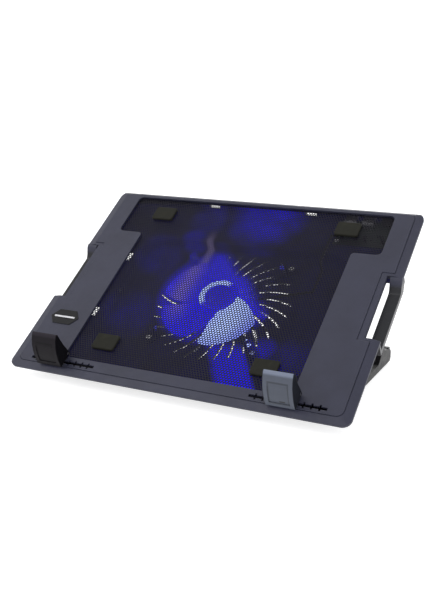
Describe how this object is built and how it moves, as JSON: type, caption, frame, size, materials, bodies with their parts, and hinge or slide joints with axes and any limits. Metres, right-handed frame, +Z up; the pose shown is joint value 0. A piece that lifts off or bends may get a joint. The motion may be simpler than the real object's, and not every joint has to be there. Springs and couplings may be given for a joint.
{
  "type": "laptop cooling pad",
  "caption": "Tilting laptop cooling pad with a perforated window over a lit fan, sliding fold-down stoppers, side hand grips and a notched folding stand.",
  "frame": {"origin": "centre of the footprint, on the table", "axes": "+X along the pad's width to the user's right, +Y from the user's edge to the raised edge, +Z up"},
  "size_m": [0.38, 0.2464, 0.1677],
  "materials": {
    "gunmetal": "fine satin grain",
    "black_plastic": "fine matt grain",
    "black_steel": "black powder coat",
    "rubber": "soft matt",
    "blue_fan": "clear blue, lit from the rim",
    "steel": "plain bright",
    "brass": "plain",
    "copper": "lacquered winding",
    "lamp": "clear lens, blue light",
    "board": "solder mask",
    "blue_plastic": "plain"
  },
  "bodies": {
    "stand": {"base_frame": "black_plastic", "base_feet": "rubber", "hinge_pins": "steel"},
    "deck": {"upper_case": "gunmetal", "lower_case": "gunmetal", "mesh_grille": "black_steel", "grip_pads": "rubber", "badge": "black_plastic", "badge_bar": "steel", "fan_frame": "black_plastic", "fan_bearing": "brass", "fan_stator": "copper", "leds": "lamp", "hub_board": "board", "usb_sockets": "steel", "usb_tongues": "blue_plastic", "speed_pot": "black_plastic", "fan_lead": "black_plastic", "case_screws": "steel", "fan_screws": "steel", "board_screws": "steel", "strut_pins": "steel"},
    "strut": {"strut": "black_plastic", "strut_sleeves": "rubber"},
    "fan": {"fan_rotor": "blue_fan", "fan_shaft": "steel"},
    "dial": {"speed_dial": "black_plastic"},
    "left_slider": {"left_carriage": "black_plastic", "left_stopper_pin": "steel"},
    "right_slider": {"right_carriage": "black_plastic", "right_stopper_pin": "steel"},
    "left_flap": {"left_stopper": "gunmetal", "left_stopper_pad": "rubber"},
    "right_flap": {"right_stopper": "gunmetal", "right_stopper_pad": "rubber"}
  },
  "joints": [
    {"name": "deck_tilt", "type": "hinge", "parent": "stand", "child": "deck", "pos_m": [0, -0.0741, 0.0188], "axis": [1, 0, 0], "range_deg": [-33.2, 0]},
    {"name": "strut_fold", "type": "hinge", "parent": "deck", "child": "strut", "pos_m": [0, 0.00597, 0.07359], "axis": [1, 0, 0], "range_deg": [0, 63.76]},
    {"name": "fan_spin", "type": "hinge", "parent": "deck", "child": "fan", "pos_m": [0, 0.00519, 0.08025], "axis": [0, -0.5476, 0.8368], "continuous": true},
    {"name": "dial_turn", "type": "hinge", "parent": "deck", "child": "dial", "pos_m": [0.151, 0.11375, 0.15726], "axis": [0, -0.5476, 0.8368], "range_deg": [0, 270]},
    {"name": "left_stopper_slide", "type": "slide", "parent": "deck", "child": "left_slider", "axis": [1, 0, 0], "range_m": [-0.022, 0.043]},
    {"name": "left_stopper_fold", "type": "hinge", "parent": "left_slider", "child": "left_flap", "pos_m": [-0.137, -0.10362, 0.03103], "axis": [1, 0, 0], "range_deg": [-90, 0]},
    {"name": "right_stopper_slide", "type": "slide", "parent": "deck", "child": "right_slider", "axis": [1, 0, 0], "range_m": [-0.029, 0.036]},
    {"name": "right_stopper_fold", "type": "hinge", "parent": "right_slider", "child": "right_flap", "pos_m": [0.123, -0.10362, 0.03103], "axis": [1, 0, 0], "range_deg": [-90, 0]}
  ],
  "couplings": [
    {"joint": "strut_fold", "follows": "deck_tilt", "ratio": -1.9176}
  ]
}
